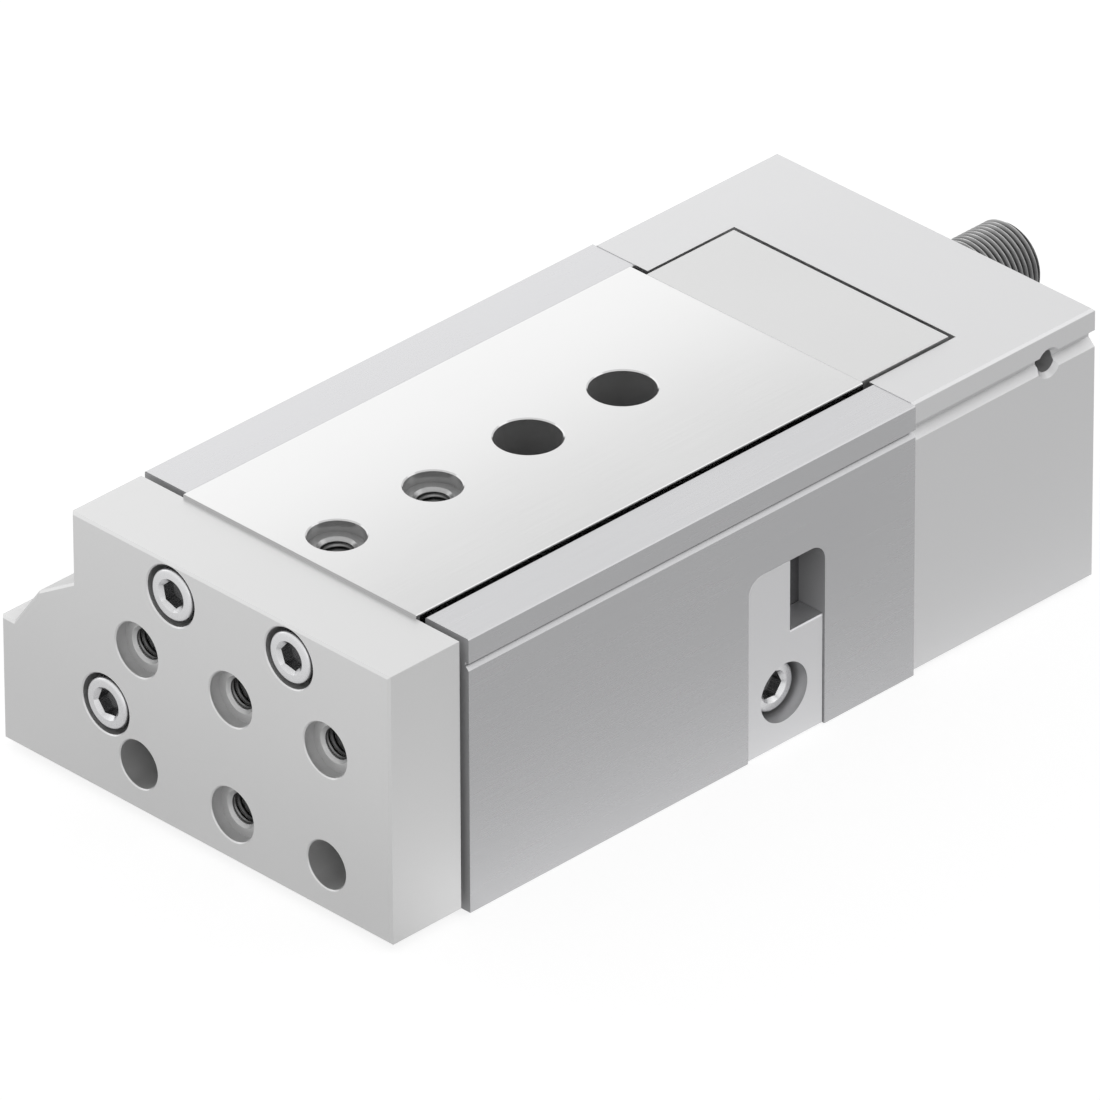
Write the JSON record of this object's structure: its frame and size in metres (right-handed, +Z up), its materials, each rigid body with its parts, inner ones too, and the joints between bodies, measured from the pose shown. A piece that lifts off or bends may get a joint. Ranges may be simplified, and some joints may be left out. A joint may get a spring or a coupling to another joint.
{
  "type": "pneumatic slide table",
  "caption": "Compact air-driven slide table: a ball-guided slide in a block housing, with a yoke plate at the front and a threaded end damper behind.",
  "frame": {"origin": "centre of the four tapped mounting holes in the housing's bottom face", "axes": "+Y from the yoke plate to the rear cover, along the slide's travel; the slide extends towards -Y; +Z up from the mounting face; +X to the right seen from the front"},
  "size_m": [0.0835, 0.1667, 0.048],
  "materials": {
    "anodised_grey": "drawn and anodised aluminium, satin",
    "cover_grey": "fine-blasted anodised aluminium, light grey",
    "insert_grey": "blasted aluminium, light grey",
    "yoke_aluminium": "milled and anodised aluminium, satin",
    "slide_bright": "ground bright",
    "block_grey": "anodised, light grey",
    "steel_screw": "zinc plated",
    "ground_steel": "hardened and ground",
    "spring_steel": "phosphated spring steel",
    "cage_brass": "plain brass",
    "turned_aluminium": "turned",
    "seal_rubber": "matt black",
    "magnet_black": "bonded magnet",
    "chromed_rod": "hard chromed",
    "damper_steel": "bright threaded steel",
    "white_nylon": "nylon"
  },
  "bodies": {
    "housing_body": {"housing": "anodised_grey", "rear_cover": "cover_grey", "cover_screws": "steel_screw", "side_insert": "insert_grey", "insert_screw": "steel_screw", "outer_rail_left": "ground_steel", "outer_rail_right": "ground_steel", "rod_cap": "turned_aluminium", "rod_seal": "seal_rubber", "cap_o_ring": "seal_rubber", "cap_clip": "spring_steel", "cylinder_plug": "turned_aluminium", "plug_o_ring": "seal_rubber", "plug_clip": "spring_steel", "stop_buffer": "seal_rubber", "stop_plug": "steel_screw", "damper_body": "damper_steel", "damper_nut": "steel_screw", "damper_adjuster": "cage_brass"},
    "slide_body": {"slide": "slide_bright", "slide_end_block": "block_grey", "end_block_screws": "steel_screw", "inner_rail_left": "ground_steel", "inner_rail_right": "ground_steel", "yoke_plate": "yoke_aluminium", "yoke_screws": "steel_screw", "yoke_dowels": "ground_steel", "rod_screw": "steel_screw", "piston_rod": "chromed_rod", "piston": "turned_aluminium", "piston_seals": "seal_rubber", "piston_magnet": "magnet_black", "piston_nut": "steel_screw", "stop_rod": "chromed_rod", "stop_collar": "ground_steel", "stop_lock_nut": "steel_screw"},
    "cage_body": {"ball_cage_left": "cage_brass", "ball_cage_right": "cage_brass", "balls_left": "ground_steel", "balls_right": "ground_steel"},
    "plunger_body": {"damper_plunger": "chromed_rod", "damper_head": "white_nylon"}
  },
  "joints": [
    {"name": "slide_travel", "type": "slide", "parent": "housing_body", "child": "slide_body", "axis": [0, -1, 0], "range_m": [0, 0.04]},
    {"name": "cage_travel", "type": "slide", "parent": "housing_body", "child": "cage_body", "axis": [0, -1, 0], "range_m": [0, 0.02]},
    {"name": "plunger_travel", "type": "slide", "parent": "housing_body", "child": "plunger_body", "axis": [0, -1, 0], "range_m": [0, 0.01]}
  ],
  "couplings": [
    {"joint": "cage_travel", "follows": "slide_travel", "ratio": 0.5},
    {"joint": "plunger_travel", "follows": "slide_travel", "ratio": 0.25}
  ]
}
